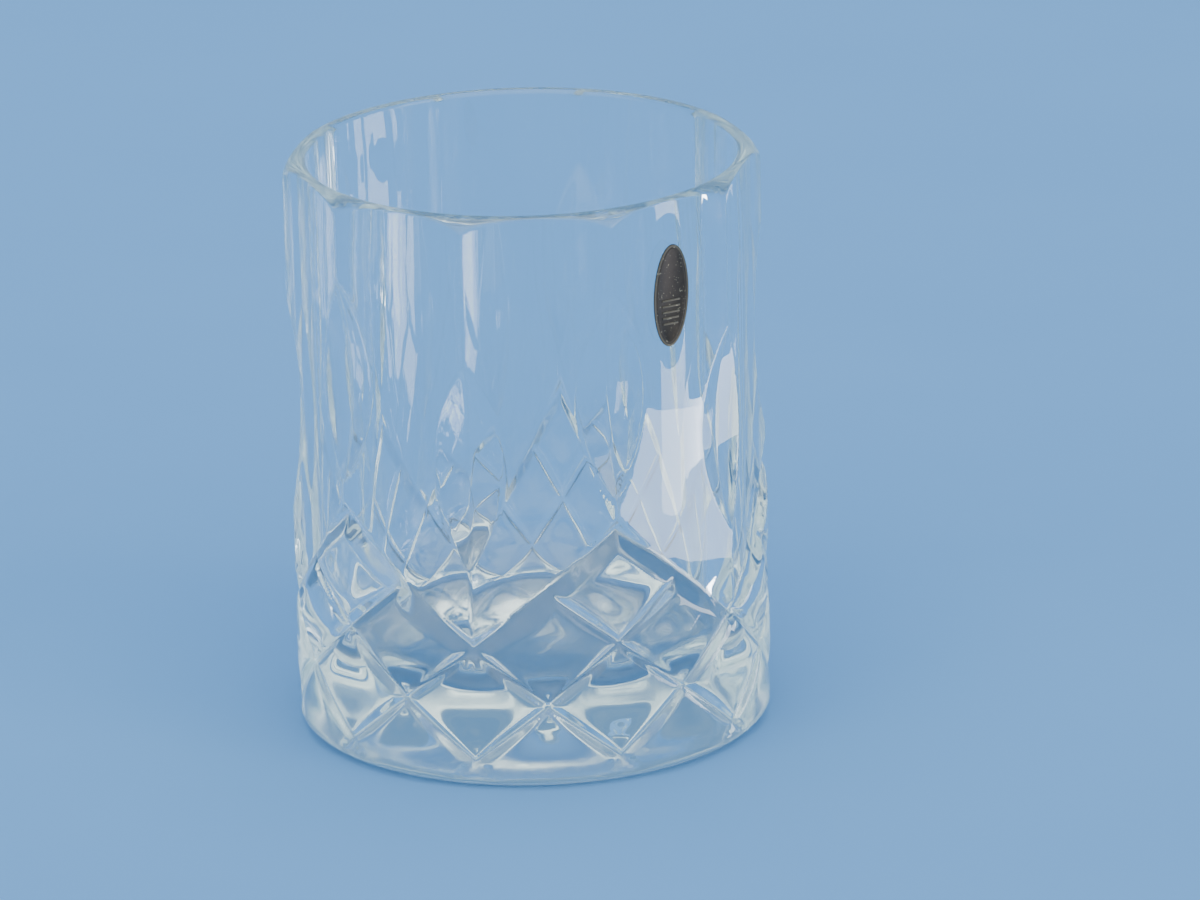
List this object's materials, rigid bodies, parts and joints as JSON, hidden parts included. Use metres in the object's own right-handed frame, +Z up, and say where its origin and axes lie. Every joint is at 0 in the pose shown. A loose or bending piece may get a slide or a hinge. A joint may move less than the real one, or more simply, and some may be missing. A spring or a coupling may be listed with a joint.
{
  "type": "whiskey tumbler",
  "caption": "Straight-sided cut-glass whiskey tumbler with upright panels, leaf cuts, a band of diamond cuts, a thick foot and a small oval foil label.",
  "frame": {"origin": "centre of the foot ring, on the table", "axes": "+Z up along the axis of the glass; the panel with the label faces -Y"},
  "size_m": [0.0808, 0.0808, 0.099],
  "materials": {
    "glass": "clear, fire-polished, faintly grey-green where thick",
    "glue": "thin dried film of label glue",
    "foil": "dark bronze-toned embossed foil"
  },
  "bodies": {
    "root": {"glass_body": "glass", "label_glue": "glue", "label_foil": "foil"}
  },
  "joints": []
}
